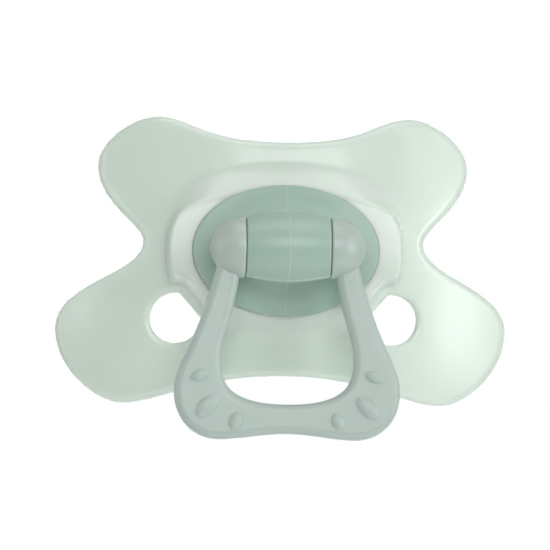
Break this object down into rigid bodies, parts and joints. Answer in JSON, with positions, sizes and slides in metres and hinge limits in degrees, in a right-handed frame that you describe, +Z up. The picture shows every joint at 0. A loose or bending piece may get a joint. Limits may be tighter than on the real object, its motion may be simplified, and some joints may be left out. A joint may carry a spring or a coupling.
{
  "type": "pacifier",
  "caption": "Butterfly-shaped baby pacifier with a vented mouth shield, an oval knob with a hinged carrying ring, and a hollow silicone teat locked by an inner plug.",
  "frame": {"origin": "on the teat's axis, at the mouth-side face of the shield's centre boss", "axes": "+X along the shield's width and the ring's hinge line, +Y along the teat towards the mouth, +Z up towards the shield's nose side, with the ring hanging down"},
  "size_m": [0.0544, 0.0438, 0.0395],
  "materials": {
    "shield_mint": "glossy translucent polypropylene, pale mint",
    "knob_sage": "satin-gloss polypropylene, sage",
    "ring_sage": "satin-gloss polypropylene, sage",
    "teat_silicone": "clear silicone, smooth with a slight haze",
    "plug_natural": "natural milky polypropylene"
  },
  "bodies": {
    "mouthpiece": {"shield": "shield_mint", "knob": "knob_sage", "teat": "teat_silicone", "teat_plug": "plug_natural"},
    "ring": {"ring_handle": "ring_sage"}
  },
  "joints": [
    {"name": "ring_swing", "type": "hinge", "parent": "mouthpiece", "child": "ring", "pos_m": [0, -0.0095, 0], "axis": [-1, 0, 0], "range_deg": [-20, 200]}
  ]
}
